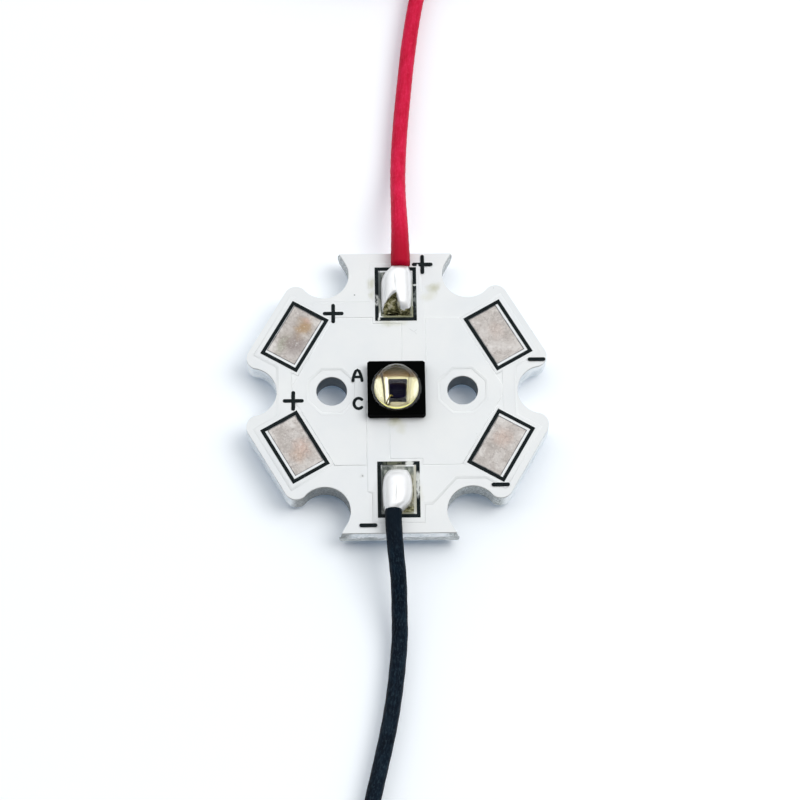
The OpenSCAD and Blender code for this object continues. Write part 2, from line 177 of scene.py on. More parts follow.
def skin(rings, n, hoop=False):
    """Faces over rings of n points: closed in a hoop, or else capped at both ends."""
    faces = []
    for i in range(rings if hoop else rings - 1):
        faces += belt(i * n, (i + 1) % rings * n, n)
    if not hoop:
        faces += [tuple(range(n - 1, -1, -1)), tuple(range((rings - 1) * n, rings * n))]
    return faces


def sweep(path, radius, sides, start=(1, 0, 0)):
    """Closed tube along path; radius(angle, distance) in millimetres."""
    dirs = tangents(path)
    side = Vector(start)
    verts, lengths = [], []
    for i, p in enumerate(path):
        lengths.append(lengths[-1] + (p - path[i - 1]).length if i else 0.0)
        side = (side - dirs[i] * side.dot(dirs[i])).normalized()
        other = dirs[i].cross(side)
        for k in range(sides):
            a = TURN * k / sides
            verts.append(p + (side * math.cos(a) + other * math.sin(a)) * radius(a, lengths[i]))
    uvs = []
    for v0, v1 in zip(lengths, lengths[1:]):
        for k in range(sides):
            u0, u1 = k / sides, (k + 1) / sides
            uvs += [(u0, v0), (u1, v0), (u1, v1), (u0, v1)]
    uvs += [(0.5, lengths[0])] * sides + [(0.5, lengths[-1])] * sides
    return verts, skin(len(path), sides), uvs


def loft(loops, hoop=False):
    """Closed solid through equal loops."""
    return [p for loop in loops for p in loop], skin(len(loops), len(loops[0]), hoop)


def lathe(profile, segments):
    """Turned solid from (radius, height) pairs; the first and last lie on the axis."""
    rows = profile[1:-1]
    verts = [(0, 0, profile[0][1])]
    verts += [(*polar(r, TURN * k / segments), z) for r, z in rows for k in range(segments)]
    verts.append((0, 0, profile[-1][1]))
    starts = [1 + i * segments for i in range(len(rows))]
    faces = []
    for a, b in zip(starts, starts[1:]):
        faces += belt(a, b, segments)
    for k in range(segments):
        n = (k + 1) % segments
        faces += [(0, 1 + n, 1 + k), (starts[-1] + k, starts[-1] + n, len(verts) - 1)]
    return verts, faces


def plate_from(outline, low, high):
    """Flat closed plate with that outline (counter-clockwise) between two heights."""
    return loft([[(x, y, z) for x, y in outline] for z in (low, high)])


def join(shapes):
    """Several shapes as one, without UVs."""
    verts, faces = [], []
    for v, f, *_ in shapes:
        base = len(verts)
        verts += list(v)
        faces += [tuple(i + base for i in face) for face in f]
    return verts, faces


# ---- material helpers ----

def rgba(colour):
    """Four numbers from three or from one grey; a socket stays as it is."""
    if isinstance(colour, bpy.types.NodeSocket):
        return colour
    return (*colour, 1) if isinstance(colour, tuple) else (colour, colour, colour, 1)


def shade(colour, value):
    return tuple(c * value for c in colour)


class Tree:
    """Short calls for the nodes of a material or a world."""

    def __init__(self, owner):
        owner.use_nodes = True
        self.nodes, self.links = owner.node_tree.nodes, owner.node_tree.links

    def node(self, kind, inputs=None, **props):
        """New node; an input that is given a socket gets a link, else a constant."""
        n = self.nodes.new(kind)
        for key, value in props.items():
            setattr(n, key, value)
        for key, value in (inputs or {}).items():
            if isinstance(value, bpy.types.NodeSocket):
                self.links.new(value, n.inputs[key])
            else:
                n.inputs[key].default_value = value
        return n

    def axes(self, vector):
        return self.node("ShaderNodeSeparateXYZ", {0: vector}).outputs

    def math(self, op, a, b=0.0):
        return self.node("ShaderNodeMath", {0: a, 1: b}, operation=op).outputs[0]

    def vector(self, op, inputs, out=0):
        return self.node("ShaderNodeVectorMath", inputs, operation=op).outputs[out]

    def ramp(self, fac, stops):
        r = self.node("ShaderNodeValToRGB", {"Fac": fac})
        elements = r.color_ramp.elements
        while len(elements) < len(stops):
            elements.new(0.5)
        for e, (at, colour) in zip(elements, stops):
            e.position = at
            e.color = rgba(colour)
        return r.outputs["Color"]


class Paint(Tree):
    """A node material: positions are in millimetres of the part's own frame."""

    def __init__(self, name, **sockets):
        self.mat = bpy.data.materials.new(name)
        super().__init__(self.mat)
        self.bsdf = self.nodes["Principled BSDF"]
        for key, value in sockets.items():
            self.bsdf.inputs[key.replace("_", " ")].default_value = value
        coord = self.node("ShaderNodeTexCoord").outputs
        self.uv = coord["UV"]
        self.mm = self.mapped(coord["Object"], (1000, 1000, 1000))

    def set(self, socket, source):
        self.links.new(source, self.bsdf.inputs[socket])

    def mapped(self, vector, scale, location=(0, 0, 0), rotation=(0, 0, 0), kind="POINT"):
        values = {"Vector": vector, "Scale": scale, "Location": location, "Rotation": rotation}
        return self.node("ShaderNodeMapping", values, vector_type=kind).outputs["Vector"]

    def noise(self, vector, scale, detail=3.0, rough=0.5, out="Fac"):
        """Noise of one scale, or stretched by three."""
        if isinstance(scale, tuple):
            vector, scale = self.mapped(vector, scale), 1.0
        values = {"Vector": vector, "Scale": scale, "Detail": detail, "Roughness": rough}
        return self.node("ShaderNodeTexNoise", values).outputs[out]

    def mix(self, fac, a, b):
        return self.node("ShaderNodeMix", {0: fac, 6: rgba(a), 7: rgba(b)}, data_type="RGBA").outputs[2]

    def between(self, value, low, high, to_low=0.0, to_high=1.0):
        values = {"Value": value, "From Min": low, "From Max": high, "To Min": to_low, "To Max": to_high}
        return self.node("ShaderNodeMapRange", values, interpolation_type="SMOOTHSTEP").outputs["Result"]

    def shaken(self, vector, amount, scale):
        """Position moved about by noise, so that edges of stains run irregularly."""
        moved = self.vector("SUBTRACT", {0: self.noise(vector, scale, out="Color"), 1: (0.5, 0.5, 0.5)})
        return self.vector("ADD", {0: vector, 1: self.vector("SCALE", {0: moved, "Scale": amount})})

    def spot(self, vector, x, y, rx, ry, turn, core):
        """1 inside an upright elliptic column, fading to 0 at its rim."""
        at = self.mapped(vector, (rx, ry, 1000), (x, y, 0), (0, 0, math.radians(turn)), "TEXTURE")
        return self.between(self.vector("LENGTH", {0: at}, "Value"), 1.0, core)

    def bump(self, height, strength, distance, normal=None):
        values = {"Height": height, "Strength": strength, "Distance": distance * MM}
        if normal:
            values["Normal"] = normal
        return self.node("ShaderNodeBump", values).outputs["Normal"]

    def colour(self, source):
        self.base = source
        self.set("Base Color", source)

    def cloudy(self, scale, dark, light, low=0.3, high=0.7, detail=3.0):
        """Base colour that drifts between two tones."""
        self.colour(self.ramp(self.noise(self.mm, scale, detail), [(low, dark), (high, light)]))
        return self

    def grainy(self, scale, strength, distance):
        self.set("Normal", self.bump(self.noise(self.mm, scale), strength, distance))
        return self

    def over(self, colour, fac, much=1.0):
        """Lays a colour over the base."""
        self.colour(self.mix(fac if much == 1.0 else self.math("MULTIPLY", fac, much), self.base, colour))

    def stains(self, where, core, rows):
        """Elliptic stains over the base: x, y, two radii, turn in degrees, colour and share."""
        for x, y, rx, ry, turn, colour, much in rows:
            self.over(colour, self.spot(where, x, y, rx, ry, turn, core), much)


def dress(paint, *nodes):
    for node in nodes:
        materials = NODES[node].data.materials
        materials.clear()
        materials.append(paint.mat)


# ---- leads ----

def insulation(name, tones, heated, fleck, much, rough, gloss):
    """Ribbed plastic with painted glints as pale dashes, darker where the soldering heated it."""
    p = Paint(name, Roughness=rough, Specular_IOR_Level=gloss)
    ridges = p.noise(p.uv, (26, 0.55, 1), 3.0, 0.55)
    cloud = p.noise(p.uv, (4, 0.8, 1), 4.0, 0.6)
    glint_dashes = p.noise(p.uv, (30, 3.6, 1), 4.0, 0.7)
    tone = p.math("ADD", p.math("MULTIPLY", cloud, 0.6), p.math("MULTIPLY", ridges, 0.4))
    p.colour(p.ramp(tone, list(zip((0.32, 0.5, 0.68), tones))))
    # pale dashes along the lead: painted glints
    p.over(fleck, p.between(glint_dashes, 0.48, 0.64), much)
    p.over(heated, p.between(p.axes(p.uv)[1], 3.6, 0.6, 0.0, 0.85))
    grain = p.noise(p.mm, 9.0, 3.0, 0.6)
    p.set("Normal", p.bump(grain, 0.25, 0.02, p.bump(ridges, 0.5, 0.06)))
    return p


# fleck is the colour of the painted glints on each lead
RED = insulation("red_insulation", [(0.48, 0.003, 0.026), (0.61, 0.007, 0.048), (0.71, 0.018, 0.082)],
                 heated=(0.39, 0.0015, 0.018), fleck=(0.80, 0.05, 0.14), much=0.25, rough=0.45, gloss=0.10)
BLACK = insulation("black_insulation",
                   [(0.0004, 0.002, 0.006), (0.0015, 0.006, 0.014), (0.008, 0.021, 0.036)],
                   heated=(0.0015, 0.006, 0.012), fleck=(0.038, 0.062, 0.08), much=0.4, rough=0.5, gloss=0.07)
TIE = Paint("tie_band", Roughness=0.55).cloudy(2.2, (0.74, 0.74, 0.71), (0.84, 0.84, 0.82), detail=4.0)
TIE.set("Normal", TIE.bump(TIE.noise(TIE.mm, (1.2, 9, 9), 2.0), 0.3, 0.03))
STRANDS = Paint("tinned_strands", Metallic=1.0, Roughness=0.28)
STRANDS.cloudy(5.0, (0.52, 0.52, 0.52), (0.74, 0.74, 0.75)).grainy(16.0, 0.2, 0.01)
dress(STRANDS, "red_conductor", "black_conductor")

# Routes repeated from the part
RED_ROUTE = [
    (0.34, 8.8, RED_Z), (0.34, 9.8, RED_Z), (0.33, 11.4, 2.287), (0.3, 13.2, 1.8985), (0.28, 15.0, 1.298),
    (0.33, 17.0, 0.804), (0.47, 19.2, TABLE_Z), (0.68, 21.5, TABLE_Z), (0.95, 24.0, TABLE_Z),
    (1.25, 26.5, TABLE_Z), (1.65, 29.0, TABLE_Z), (2.2, 31.5, TABLE_Z), (2.8, 33.6, TABLE_Z),
    (3.0, 35.0, TABLE_Z), (3.0, 36.0, TABLE_Z),
]
BLACK_ROUTE = [
    (-0.38, -8.5, BLACK_Z), (-0.38, -9.5, BLACK_Z), (-0.28, -11.2, 2.1795), (-0.12, -13.0, 1.7505),
    (-0.07, -14.8, 1.1565), (-0.08, -16.8, 0.744), (-0.26, -18.8, TABLE_Z), (-0.52, -20.8, TABLE_Z),
    (-0.92, -23.0, TABLE_Z), (-1.45, -25.3, TABLE_Z), (-2.05, -27.8, TABLE_Z), (-2.65, -30.3, TABLE_Z),
    (-3.1, -32.4, TABLE_Z), (-3.3, -34.0, TABLE_Z), (-3.3, -35.0, TABLE_Z),
]


def coil_path():
    """Wound part in the coil's own frame: in along +Y at the right, inwards below, outwards on top."""
    inwards, rise, outwards, _ = COIL_TURNS
    pts = [(COIL_R, -COIL_IN * k / 8, TABLE_Z) for k in range(8, 0, -1)]
    for deg in range(0, int(sum(COIL_TURNS) * 360) + 1, 3):
        t = deg / 360
        if t <= inwards:
            r, z = COIL_R - LEAD_D * t, TABLE_Z
        else:
            grown = max(0.0, t - inwards - rise) / outwards
            r = min(COIL_R, COIL_MID_R - LEAD_D + 2 * LEAD_D * grown)
            z = TABLE_Z + LEAD_D * ease(min(1.0, (t - inwards) / rise))
        pts.append((*polar(r, math.radians(deg)), z))
    tail = COIL_EXIT + COIL_TAIL
    return pts + [(tail * k / 14, -COIL_R, TABLE_Z + LEAD_D) for k in range(1, 15)]


def lead_path(route, at, sign):
    path = catmull(route, 0.16)
    path += [Vector((at[0] + sign * x, at[1] + sign * y, z)) for x, y, z in coil_path()]
    clean = [path[0]]
    for p in path[1:]:
        if (p - clean[-1]).length > 0.05:
            clean.append(p)
    return clean


def make_strands(name, start, sign):
    """Bare end: seven twisted tinned strands."""
    strand_r, hidden, twist = CORE_D / 6, 0.25, 1.1
    strands = []
    for s in range(7):
        ring_r = CORE_D / 2 - strand_r if s else 0.0
        line = []
        for k in range(37):
            t = k / 36
            x = sign * (BARE_END * t - hidden * (1 - t))
            line.append(start + Vector((x, *polar(ring_r, TURN * (s / 6 + twist * t)))))
        strands.append(sweep(line, lambda a, d: strand_r * 1.08, 10, (0, 0, 1)))
    end = add_mesh(name + "_strands", join(strands), STRANDS)
    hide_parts(name + "_end")
    return end


def band_outline(half, low, high, corner):
    pts = []
    for side, middle, first in ((1, high - corner, 0), (-1, high - corner, 90),
                                (-1, low + corner, 180), (1, low + corner, 270)):
        for k in range(9):
            y, z = polar(corner, math.radians(first + k * 90 / 8))
            pts.append((side * (half - corner) + y, middle + z))
    return pts


def make_band(name, at, sign):
    """Tie around the turns at the far side of the coil."""
    outer = band_outline(1.80, 0.0, 2.44, 0.62)
    inner = band_outline(1.58, 0.115, 2.225, 0.52)
    # places across the band and how far out it reaches there
    across = [(-0.8, 0.55), (-0.74, 0.9), (-0.6, 1.0), (0.6, 1.0), (0.74, 0.9), (0.8, 0.55), (0.8, 0.0), (-0.8, 0.0)]
    loops = []
    for x, out in across:
        loops.append([(at[0] + sign * x, at[1] + sign * (COIL_MID_R + iy + (oy - iy) * out), iz + (oz - iz) * out)
                      for (oy, oz), (iy, iz) in zip(outer, inner)])
    tie = add_mesh(name + "_band", loft(loops, True), TIE)
    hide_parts(name + "_tie")
    return tie


def make_lead(name, route, sign, swell, reach, cut, lay, paint):
    """Lead with its coil. It swells towards its joint; reach and cut shape the torn end there."""
    at = (route[-1][0] - sign * COIL_R, route[-1][1] + sign * COIL_IN)
    path = lead_path(route, at, sign)
    swell_over, rag_over, ridge_from = 5.5, 0.2, 0.6

    def radius(angle, dist):
        grow = 1 + (swell - 1) * max(0.0, 1 - dist / swell_over) ** 1.4
        rag = 0.95 + 0.05 * min(1.0, dist / rag_over)
        wob = wave(*polar(0.7, angle), dist * 0.55 + 3 * sign)
        fine = wave(*polar(4.0, angle), dist * 1.3)
        # the strands inside press through as six low ridges that wind along the lead
        ridge = math.cos(6 * (angle - TURN * dist / lay)) * min(1.0, dist / ridge_from)
        return LEAD_D / 2 * grow * rag * (1 + 0.016 * wob + 0.008 * fine + 0.012 * ridge)

    shape = sweep(path, radius, LEAD_SIDES)
    # the insulation is torn a little where it meets the solder
    for k, point in enumerate(shape[0][:LEAD_SIDES]):
        tear = wave(k * 0.9, 5.0, 1.0) + 0.6 * wave(k * 2.3, 9.0, 1.0)
        crown = max(0.0, (point.z - path[0].z) / (LEAD_D / 2))
        point.y -= sign * (reach + 0.09 * tear + cut * crown)
    lead = add_mesh(name + "_insulation", shape, paint)
    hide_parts(name, name + "_coil", name + "_tail")
    end = make_strands(name, path[-1], sign)
    tie = make_band(name, at, sign)


make_lead("red_lead", RED_ROUTE, 1, 1.27, 0.06, 0.17, 4.3, RED)
make_lead("black_lead", BLACK_ROUTE, -1, 1.07, -0.07, 0.06, 8.0, BLACK)


# ---- plate and copper ----

def aluminium_paint():
    p = Paint("aluminium", Metallic=0.8)
    cloud = p.noise(p.mm, 1.3, 4.0)
    lines = p.noise(p.mm, (3, 3, 22))
    speck = p.noise(p.mm, 7.0, 4.0, 0.7)
    tone = p.math("ADD", p.math("MULTIPLY", cloud, 0.5), p.math("MULTIPLY", speck, 0.5))
    p.colour(p.ramp(tone, [(0.38, (0.72, 0.76, 0.79)), (0.5, (0.87, 0.905, 0.93)), (0.60, (0.965, 0.98, 0.99))]))
    # the milled notches towards the top and bottom are duller and painted darker as shade, the lower left one most;
    # the drilled bores are painted near black as the shade inside them
    milled_and_shaded = [(0.40, (0.22, 0.235, 0.23)), (0.5, (0.44, 0.465, 0.46)), (0.60, (0.66, 0.685, 0.68))]
    for angle, value in ((60, 1.0), (120, 1.0), (240, 0.55), (300, 1.0)):
        dull_and_shaded = p.ramp(speck, [(at, shade(colour, value)) for at, colour in milled_and_shaded])
        p.stains(p.mm, 0.8, [(*polar(NOTCH_AT, math.radians(angle)), 2.5, 2.5, 0, dull_and_shaded, 0.85)])
    # painted shade in the two bores
    p.stains(p.mm, 0.95, [(x, 0, 1.3, 1.3, 0, (0.05, 0.065, 0.08), 0.85) for x in (-HOLE_X, HOLE_X)])
    p.set("Roughness", p.ramp(lines, [(0.3, 0.36), (0.7, 0.55)]))
    p.set("Normal", p.bump(lines, 0.3, 0.02, p.bump(speck, 0.5, 0.04)))
    return p


def fracture_paint():
    p = Paint("snapped_edge", Metallic=0.55, Roughness=0.5)
    streaks = p.noise(p.shaken(p.mm, 0.2, 1.5), (1.1, 4, 11), 4.0, 0.6)
    p.colour(p.ramp(streaks, [(0.36, (0.40, 0.43, 0.43)), (0.52, (0.66, 0.69, 0.695)), (0.64, (0.93, 0.95, 0.955))]))
    p.set("Normal", p.bump(p.noise(p.mm, (5, 5, 12), 4.0, 0.65), 0.6, 0.04))
    return p


def make_snapped_edges():
    """Torn metal along the two edges that were broken off at the score, with a small burr at each end."""
    paint = fracture_paint()
    end, face, back = 3.84, 10.045, 9.98
    burrs = {-1: [(0.03, 0.40, 1.14), (0.06, 0.52, 1.12), (0.09, 0.7, 1.05)], 1: [(0.02, 0.7, 1.02)]}
    for name, sign in (("bottom", -1), ("top", 1)):
        rows = [(-end - d, low, high) for d, low, high in reversed(burrs[sign])]
        for k in range(141):
            x = end * (k / 70 - 1)
            rows.append((x, 0.45 + 0.10 * wave(x * 1.6, 3.0, sign) + 0.05 * wave(x * 6, 1.0, sign),
                         1.06 + 0.05 * wave(x * 1.3, 8.0, sign) + 0.03 * wave(x * 7, 4.0, sign)))
        rows += [(end + d, low, high) for d, low, high in burrs[sign]]
        loops = []
        for x, low, high in rows:
            loop = []
            for k in range(12):
                t = k / 11
                tear = wave(x * 2.2, t * 4.0, 5.0 * sign) + 0.5 * wave(x * 9, t * 9, sign)
                out = math.sin(math.pi * t) ** 0.5 * (0.035 + 0.03 * tear)
                loop.append((x, sign * (face + out), low + (high - low) * t))
            loop += [(x, sign * back, high - 0.02), (x, sign * back, low + 0.02)]
            loops.append(loop[::-1] if sign < 0 else loop)
        add_mesh("snapped_edge_" + name, loft(loops), paint)


dress(aluminium_paint(), "base_plate")
make_snapped_edges()
dress(Paint("dielectric", Roughness=0.6).cloudy(3.0, (0.56, 0.56, 0.53), (0.66, 0.66, 0.63)), "dielectric_layer")
dress(Paint("copper", Metallic=1.0, Roughness=0.35).cloudy(2.0, (0.58, 0.29, 0.15), (0.72, 0.38, 0.22)),
      "anode_copper", "cathode_copper", "heat_copper")


# ---- solder mask ----

OLIVE, PALE = (0.50, 0.50, 0.36), (0.66, 0.66, 0.55)
MASK_STAINS = [
    (2.55, 7.40, 0.75, 0.52, 25, OLIVE, 0.75),
    (2.2, 6.75, 0.75, 0.5, 20, PALE, 0.45),
    (-1.62, 7.72, 0.42, 0.62, -10, OLIVE, 0.6),
    (-1.60, 6.9, 0.30, 0.5, 0, OLIVE, 0.5),
    (-0.60, 4.82, 0.95, 0.36, -4, OLIVE, 0.55),
    (0.2, 4.85, 0.9, 0.30, 0, PALE, 0.5),
    (-0.10, -2.25, 0.85, 0.50, 0, PALE, 0.8),
    (-0.15, -2.05, 0.42, 0.30, 0, OLIVE, 0.75),
    (0.25, -2.75, 0.5, 0.5, 0, PALE, 0.4),
    (1.42, -7.2, 0.30, 1.0, 0, PALE, 0.35),
    (-2.38, -5.96, 0.22, 0.2, 0, (0.55, 0.56, 0.55), 0.6),
]
# flux between the pads of the two joints and their outlines; the near black strips on the left of the beads are dark
# flux with painted shade
MASK_FLUX = [
    # dark flux and painted shade on the left of the top bead
    (-1.10, 7.4, 0.17, 1.42, 0, (0.05, 0.065, 0.06), 0.95),
    (-1.12, 6.1, 0.15, 0.6, 0, (0.36, 0.38, 0.32), 0.8),
    (1.12, 6.7, 0.15, 1.4, 0, (0.36, 0.38, 0.32), 0.8),
    (1.13, 5.6, 0.16, 0.55, 0, (0.22, 0.23, 0.10), 0.85),
    (0.1, 5.31, 1.2, 0.15, 0, (0.20, 0.205, 0.10), 0.95),
    # dark flux and painted shade on the left of the bottom bead
    (-1.11, -7.0, 0.17, 1.82, 0, (0.05, 0.06, 0.06), 0.96),
    (1.08, -6.9, 0.16, 2.0, 0, (0.42, 0.41, 0.31), 0.8),
    (0.35, -8.62, 0.75, 0.13, 0, (0.20, 0.20, 0.12), 0.9),
    (-0.95, -8.6, 0.4, 0.15, 0, (0.08, 0.09, 0.085), 0.9),
    (-0.65, -5.31, 0.55, 0.15, 0, (0.06, 0.07, 0.06), 0.9),
    (0.05, -5.30, 0.5, 0.10, 0, (0.45, 0.46, 0.40), 0.7),
]
SPECK = (0.16, 0.17, 0.18)
MASK_SPECKS = [(x, y, r, r, 0, SPECK, much) for x, y, r, much in (
    (-2.77, 6.92, 0.075, 0.8), (-2.36, -5.97, 0.07, 0.75), (6.6, 7.35, 0.05, 0.4),
    (-3.4, -7.3, 0.04, 0.35), (5.2, -3.1, 0.04, 0.3), (9.1, 4.2, 0.05, 0.4))]
# a hair-fine mark beside the track
HAIR = (0.30, 0.31, 0.33)
MASK_HAIR = [(*row, HAIR, 0.45) for row in (
    (1.02, 4.32, 0.30, 0.022, -38), (1.28, 4.28, 0.24, 0.020, 40), (1.30, 4.10, 0.16, 0.018, -50))]


def mask_paint(name, slope):
    """White lacquer; slope is the share of a tilted face that shows in its shading."""
    p = Paint(name, Roughness=0.38, IOR=1.5).cloudy(0.35, (0.765, 0.790, 0.812), (0.815, 0.830, 0.836))
    p.stains(p.shaken(p.mm, 0.5, 2.2), 0.1, MASK_STAINS)
    p.stains(p.shaken(p.mm, 0.10, 3.5), 0.75, MASK_FLUX)
    p.stains(p.mm, 0.3, MASK_SPECKS)
    p.stains(p.mm, 0.2, MASK_HAIR)
    # the lacquer flows over the copper edges, so their steps hardly show: the tilted faces are painted lighter,
    # painted light that offsets their shade, and their shading normals are bent upwards
    facing = p.node("ShaderNodeNewGeometry").outputs["Normal"]
    p.over((0.96, 0.97, 0.98), p.between(p.axes(facing)[2], 0.9, 0.4))
    lifted = p.vector("MULTIPLY_ADD", {0: facing, 1: (slope, slope, slope), 2: (0, 0, 1 - slope)})
    flowed = p.vector("NORMALIZE", {0: lifted})
    p.set("Normal", p.bump(p.noise(p.mm, 2.6), 0.25, 0.02, flowed))
    return p


def mask_steps():
    """Foot of each step in the mask, as pairs of points with the direction away from the step."""
    node = NODES["solder_mask"]
    points = [node.matrix_world @ v.co / MM for v in node.data.vertices]
    spots = [tuple(round(c, 3) for c in p) for p in points]
    level = MASK_TOP - MASK_SINK
    beside = {}
    for face in node.data.polygons:
        ring = list(face.vertices)
        top = max(points[i].z for i in ring)
        for i, j in zip(ring, ring[1:] + ring[:1]):
            flat = all(abs(points[v].z - level) < 0.002 for v in (i, j))
            if flat and spots[i] != spots[j]:
                beside.setdefault(tuple(sorted((spots[i], spots[j]))), []).append((face.normal, top))
    steps = []
    for (a, b), faces in beside.items():
        walls = [n for n, top in faces if abs(n.z) < 0.1 and top > level + 0.01]
        flats = [n for n, top in faces if n.z > 0.9]
        if len(walls) == 1 and len(flats) == 1:
            steps.append((a, b, Vector((walls[0].x, walls[0].y, 0)).normalized()))
    return steps


def groove_width(step, steps, most):
    """Distance from a step to the nearest one that faces it, or most where there is none nearer."""
    a, b, n = step
    along = Vector(b) - Vector(a)
    length = along.length
    along.normalize()
    for c, d, other in steps:
        if n.dot(other) > -0.7:
            continue
        gap = (Vector(c) - Vector(a)).dot(n)
        shift = sorted((Vector(p) - Vector(a)).dot(along) for p in (c, d))
        if 0 < gap < most and shift[1] > 0.05 and shift[0] < length - 0.05:
            most = gap
    return most


def make_mask_flow():
    """Lacquer that flowed to the foot of the steps and rounds them off; in a groove it stops at the middle."""
    rows, reach, overlap = 7, 0.20, 0.004
    low = MASK_TOP - MASK_SINK
    steps = mask_steps()
    turn, room = {}, {}
    for a, b, n in steps:
        wide = groove_width((a, b, n), steps, 2 * reach)
        for at in (a, b):
            turn.setdefault(at, []).append(n)
            room[at] = min(room.get(at, reach), 0.48 * wide)
    verts, faces, first = [], [], {}
    for at, normals in turn.items():
        away = sum(normals, Vector())
        if len(normals) == 2:
            away = away / max(0.6, 1 + normals[0].dot(normals[1]))
        first[at] = len(verts)
        for k in range(rows):
            t = k / (rows - 1)
            spot = Vector(at) + away * room[at] * t
            verts.append((spot.x, spot.y, MASK_TOP - (MASK_TOP - low) * ease(t)))
        verts.append((at[0], at[1], low - overlap))
    size = rows + 1
    for a, b, n in steps:
        if (Vector(b) - Vector(a)).cross(n).z > 0:
            a, b = b, a
        faces += belt(first[a], first[b], size)
        for end in (a, b):
            if len(turn[end]) == 1:
                ring = tuple(range(first[end], first[end] + size))
                faces.append(ring if end == b else ring[::-1])
    flow = add_mesh("mask_flow", (verts, faces), mask_paint("white_mask_flow", 0.7))


dress(mask_paint("white_mask", 0.06), "solder_mask")
make_mask_flow()


# ---- pads ----

# name, direction from the centre, and shift of the mask's opening
SIDE_PADS = [("upper_right", 30, (-0.08, -0.08)), ("upper_left", 150, (0.08, 0.06)),
             ("lower_left", 210, (0.08, -0.08)), ("lower_right", 330, (0.08, -0.08))]
ROSE = (0.60, 0.44, 0.37)
TIN_STAINS = [
    (-6.9, 3.85, 1.7, 0.95, 60, (0.35, 0.295, 0.26), 0.75),
    (-6.65, 3.25, 1.2, 0.95, 60, (0.34, 0.295, 0.285), 0.8),
    (-6.25, 4.55, 1.05, 0.8, 60, (0.44, 0.29, 0.15), 0.8),
    (-7.7, 3.3, 0.5, 1.3, -30, (0.36, 0.36, 0.29), 0.7),
    (-6.0, 5.0, 0.45, 0.4, 0, (0.58, 0.40, 0.33), 0.6),
    (-6.3, -4.0, 1.0, 0.8, -60, ROSE, 0.75),
    (-6.6, -4.6, 0.9, 0.6, -60, (0.56, 0.40, 0.31), 0.5),
    (6.9, -3.4, 1.0, 0.8, 60, ROSE, 0.5),
    (6.7, 4.2, 0.9, 0.7, -60, ROSE, 0.22),
]


def tin_paint():
    p = Paint("tin_pads", Metallic=0.75)
    cloud = p.noise(p.shaken(p.mm, 0.6, 1.2), 1.1, 4.0, 0.6)
    p.colour(p.ramp(cloud, [(0.30, (0.42, 0.385, 0.36)), (0.46, (0.57, 0.53, 0.50)), (0.70, (0.73, 0.70, 0.675))]))
    shaken = p.shaken(p.mm, 0.9, 1.6)
    p.stains(shaken, 0.45, [(*polar(PAD_AT, math.radians(angle)), 2.3, 1.45, angle - 90, (0.42, 0.37, 0.345), 0.30)
                            for _, angle, _ in SIDE_PADS])
    p.stains(shaken, 0.1, TIN_STAINS)
    # thin wandering veins and a fine bright grain
    vein = p.noise(p.shaken(p.mm, 0.7, 1.4), 1.1, 3.0, 0.55)
    edge = p.math("ABSOLUTE", p.math("SUBTRACT", vein, 0.5))
    p.over((0.22, 0.18, 0.17), p.between(edge, 0.026, 0.003), 0.3)
    fleck = p.noise(p.mm, 5.5, 4.0, 0.65)
    p.over((0.80, 0.77, 0.74), p.between(fleck, 0.54, 0.70), 0.42)
    p.over((0.28, 0.24, 0.22), p.between(fleck, 0.46, 0.34), 0.25)
    grain = p.noise(p.mm, 7.0, 4.0, 0.6)
    p.set("Roughness", p.ramp(grain, [(0.3, 0.42), (0.7, 0.62)]))
    p.set("Normal", p.bump(grain, 0.5, 0.03))
    return p


def fluxed_paint():
    """Tin under burnt and smeared flux, on the two soldered pads, with painted shade on the left of the beads."""
    p = Paint("fluxed_tin", Roughness=0.45, Specular_IOR_Level=0.3)
    shaken = p.shaken(p.mm, 0.25, 3.0)
    streaks = p.noise(shaken, (7, 1.6, 1), 4.0, 0.6)
    curls = p.noise(p.shaken(p.mm, 0.7, 1.6), 3.2, 4.0, 0.62)
    olive = p.ramp(curls, [(0.34, (0.012, 0.012, 0.004)), (0.46, (0.085, 0.08, 0.03)),
                           (0.56, (0.26, 0.25, 0.13)), (0.70, (0.50, 0.48, 0.33))])
    beige = p.ramp(streaks, [(0.36, (0.10, 0.095, 0.06)), (0.5, (0.36, 0.35, 0.26)), (0.66, (0.62, 0.61, 0.52))])
    burnt = (0.045, 0.055, 0.05)
    p.colour(p.ramp(streaks, [(0.30, (0.05, 0.065, 0.055)), (0.48, (0.16, 0.18, 0.16)), (0.66, (0.40, 0.42, 0.38))]))
    p.stains(shaken, 0.5, [(0.15, 5.55, 1.35, 0.75, 0, olive, 1.0)])
    p.stains(shaken, 0.3, [(1.05, 6.9, 0.25, 1.9, 0, (0.40, 0.42, 0.35), 0.75)])
    p.stains(shaken, 0.5, [(0.95, -7.2, 0.42, 1.7, 0, beige, 1.0)])
    p.stains(shaken, 0.4, [(0.55, -8.35, 0.75, 0.35, 0, olive, 1.0)])
    p.stains(shaken, 0.3, [(-0.05, -5.5, 0.75, 0.22, 0, (0.34, 0.35, 0.33), 0.8)])
    # near black: burnt flux, and on the left of each bead painted shade as well
    p.stains(shaken, 0.5, [(*row, 0, burnt, 0.8) for row in (
        (-1.0, 7.6, 0.2, 1.1), (-1.0, -7.0, 0.22, 1.8), (-0.75, -5.48, 0.4, 0.16))])
    p.set("Normal", p.bump(curls, 0.5, 0.04))
    return p


